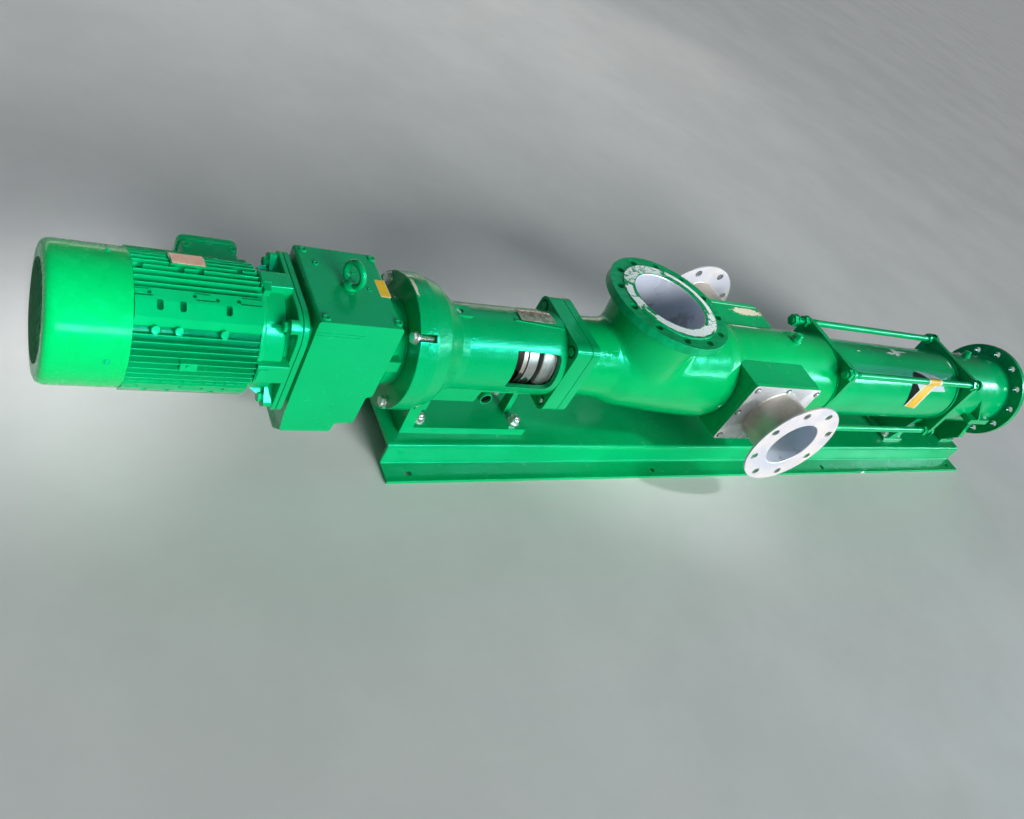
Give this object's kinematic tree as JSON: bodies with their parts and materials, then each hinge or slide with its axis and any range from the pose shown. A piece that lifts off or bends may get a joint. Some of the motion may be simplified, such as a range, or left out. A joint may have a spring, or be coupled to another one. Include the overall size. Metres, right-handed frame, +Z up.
{
  "type": "progressive cavity pump with geared motor",
  "caption": "Eccentric screw pump on a folded steel base: geared motor, lantern with shaft window, suction casing with flanged inlet and side ports, stator between tie rods, discharge flange.",
  "frame": {"origin": "centre of the bounding box at floor level", "axes": "+X along the pump from the motor to the discharge flange, +Z up, -Y towards the viewer's side"},
  "size_m": [3.197, 0.58, 0.495],
  "materials": {
    "green_paint": "glossy machine enamel over cast and welded steel",
    "base_paint": "glossy machine enamel over folded sheet",
    "bare_steel": "bare pickled steel, satin",
    "machined_steel": "turned and ground",
    "polished_steel": "polished",
    "lining_rubber": "moulded, matt"
  },
  "bodies": {
    "pump": {"base_rail": "base_paint", "motor_fan_cowl": "green_paint", "motor_fan_grille": "green_paint", "motor_frame": "green_paint", "motor_drive_end_shield": "green_paint", "motor_terminal_box": "green_paint", "motor_terminal_lid": "green_paint", "motor_mounting_plate": "green_paint", "gearbox_adapter_plate": "green_paint", "gearbox_housing": "green_paint", "gearbox_output_bell": "green_paint", "gearbox_output_flange": "green_paint", "gearbox_eye_bolt": "green_paint", "lantern_housing": "green_paint", "lantern_foot": "green_paint", "lantern_drain_nipple": "green_paint", "seal_plate": "green_paint", "casing_drive_flange": "green_paint", "suction_casing": "green_paint", "casing_vent_plug": "green_paint", "inlet_flange": "green_paint", "side_boss_front": "green_paint", "side_boss_back": "green_paint", "casing_end_plate": "green_paint", "stator_end_plate": "green_paint", "tie_rod_front_top": "green_paint", "tie_rod_back_top": "green_paint", "tie_rod_front_bottom": "green_paint", "tie_rod_back_bottom": "green_paint", "stator_tube": "green_paint", "stator_saddle": "green_paint", "outlet_body": "green_paint", "discharge_flange": "green_paint", "outlet_foot": "green_paint", "outlet_gauge_plug": "green_paint", "seal_housing": "machined_steel", "side_plate_front": "bare_steel", "side_plate_back": "bare_steel", "side_neck_front": "bare_steel", "side_neck_back": "bare_steel", "side_flange_front": "bare_steel", "side_flange_back": "bare_steel", "rotor": "polished_steel", "stator_lining": "lining_rubber"},
    "shaft": {"drive_shaft": "machined_steel", "shaft_clamp_ring": "machined_steel", "shaft_slinger": "machined_steel", "coupling_rod": "machined_steel"}
  },
  "joints": [
    {"name": "shaft_spin", "type": "hinge", "parent": "pump", "child": "shaft", "pos_m": [-0.5795, 0, 0.29], "axis": [1, 0, 0], "continuous": true}
  ]
}
